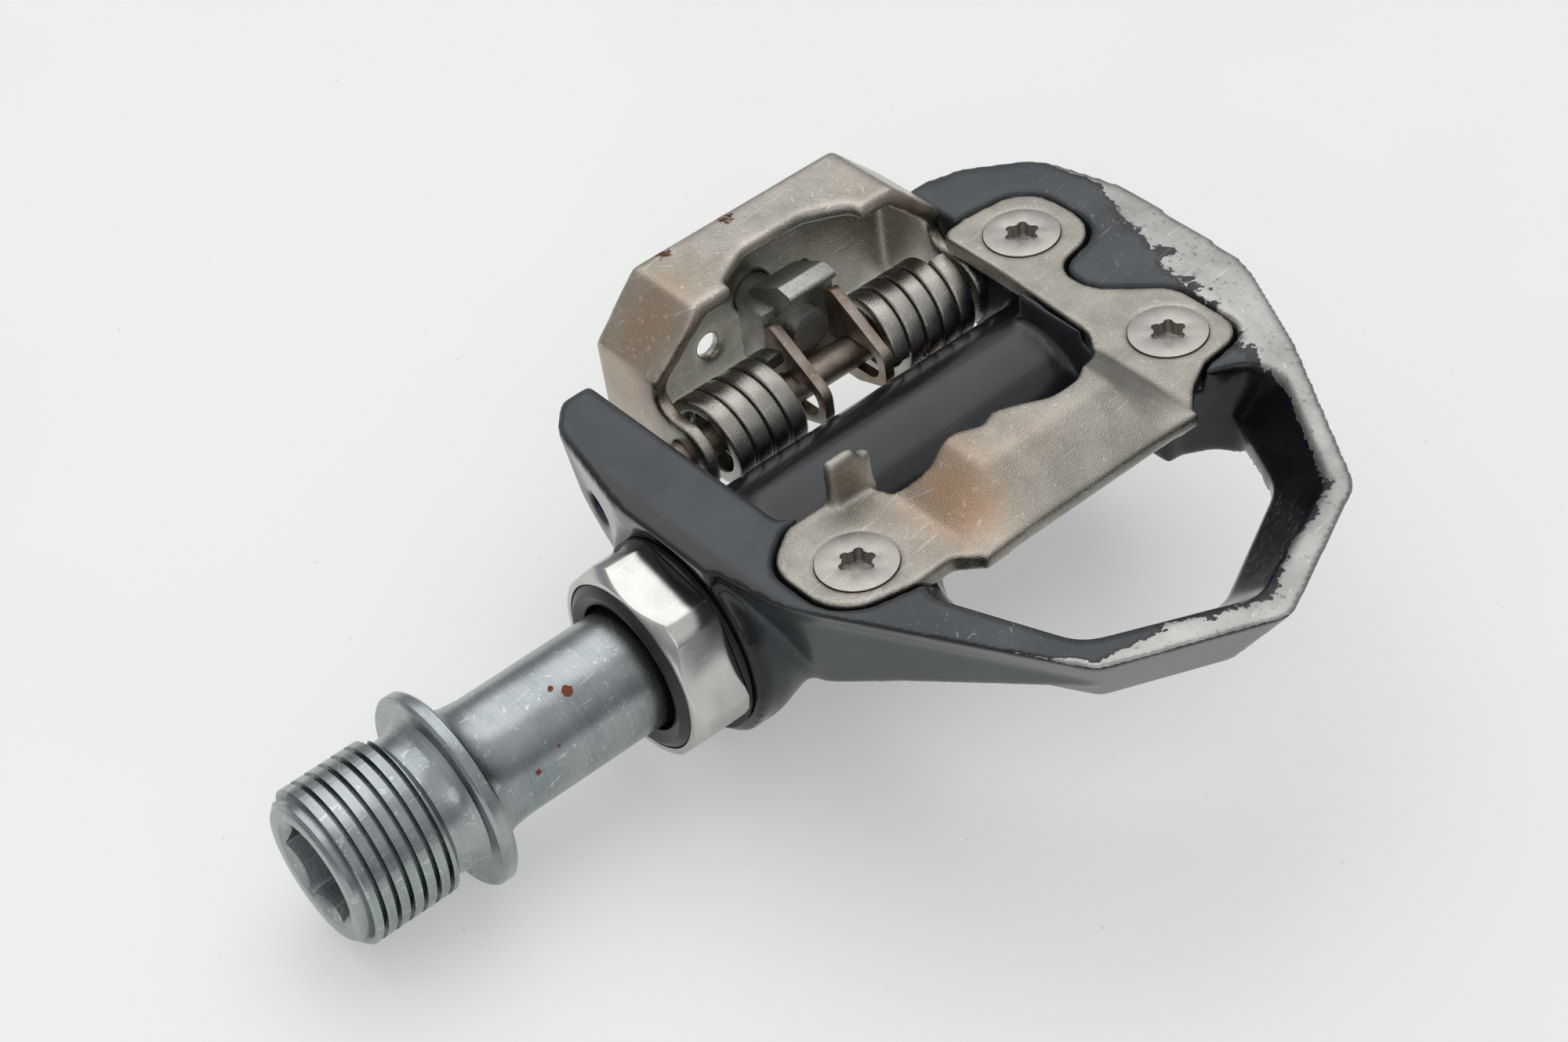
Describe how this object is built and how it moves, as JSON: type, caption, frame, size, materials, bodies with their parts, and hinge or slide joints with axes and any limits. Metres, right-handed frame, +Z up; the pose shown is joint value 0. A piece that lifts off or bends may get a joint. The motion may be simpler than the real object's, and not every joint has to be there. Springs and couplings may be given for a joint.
{
  "type": "clipless bicycle pedal",
  "caption": "Single-sided clipless bicycle pedal: open loop body on a threaded axle with bearing cartridge, screwed cleat plate and sprung rear claw with tension adjuster.",
  "frame": {"origin": "centre of the axle flange face that seats on the crank arm", "axes": "+Y along the axle away from the crank, +X forward to the tip of the loop, +Z up to the shoe"},
  "size_m": [0.0688, 0.0955, 0.0274],
  "materials": {
    "axle_steel": "satin turned steel with light rust spots",
    "lock_chrome": "polished plated steel",
    "seal_dark": "dark seal",
    "ring_dark": "dark ring",
    "bearing_steel": "ground bearing steel",
    "bushing_polymer": "moulded bushing",
    "casting_paint": "dark blue-grey finish worn to bare metal along the rim",
    "plate_nickel": "nickel-plated pressed steel, warm tint",
    "screw_steel": "faced countersunk heads",
    "pin_steel": "steel pin with rust",
    "spring_steel": "flat wire with rust spots",
    "claw_nickel": "nickel-plated folded steel, brown rubbed edge",
    "zinc": "zinc-plated adjuster"
  },
  "bodies": {
    "axle": {"axle": "axle_steel", "bearing_cone": "bearing_steel", "lock_nut": "bearing_steel"},
    "pedal": {"casting": "casting_paint", "lock_bolt": "lock_chrome", "dust_seal": "seal_dark", "gap_ring": "ring_dark", "inner_cup": "bearing_steel", "bushing": "bushing_polymer", "outer_cup": "bearing_steel", "cleat_plate": "plate_nickel", "plate_screws": "screw_steel", "claw_pin": "pin_steel", "spring_inboard": "spring_steel", "spring_outboard": "spring_steel"},
    "inner_ball_ring": {"inner_balls": "bearing_steel"},
    "outer_ball_ring": {"outer_balls": "bearing_steel"},
    "claw": {"rear_claw": "claw_nickel"},
    "bolt": {"tension_bolt": "zinc"},
    "adjuster": {"tension_nut": "zinc", "spring_carrier": "pin_steel"}
  },
  "joints": [
    {"name": "axle_spin", "type": "hinge", "parent": "axle", "child": "pedal", "pos_m": [0, 0.04, 0], "axis": [0, 1, 0], "continuous": true},
    {"name": "inner_balls_roll", "type": "hinge", "parent": "axle", "child": "inner_ball_ring", "pos_m": [0, 0.03, 0], "axis": [0, 1, 0], "continuous": true},
    {"name": "outer_balls_roll", "type": "hinge", "parent": "axle", "child": "outer_ball_ring", "pos_m": [0, 0.0614, 0], "axis": [0, 1, 0], "continuous": true},
    {"name": "claw_pivot", "type": "hinge", "parent": "pedal", "child": "claw", "pos_m": [-0.0125, 0.0525, 0.005], "axis": [0, -1, 0], "range_deg": [0, 18], "stiffness_Nm_per_rad": 1.2, "springref_deg": -20.05, "deforming": ["spring_inboard", "spring_outboard"]},
    {"name": "tension_bolt_turn", "type": "hinge", "parent": "claw", "child": "bolt", "pos_m": [-0.0259, 0.0525, 0.0084], "axis": [1, 0, 0], "range_deg": [0, 1028.6]},
    {"name": "tension_nut_slide", "type": "slide", "parent": "claw", "child": "adjuster", "axis": [-1, 0, 0], "range_m": [0, 0.002]}
  ],
  "couplings": [
    {"joint": "inner_balls_roll", "follows": "axle_spin", "ratio": 0.6},
    {"joint": "outer_balls_roll", "follows": "axle_spin", "ratio": 0.6},
    {"joint": "tension_bolt_turn", "follows": "tension_nut_slide", "rad_per_m": 8976}
  ]
}
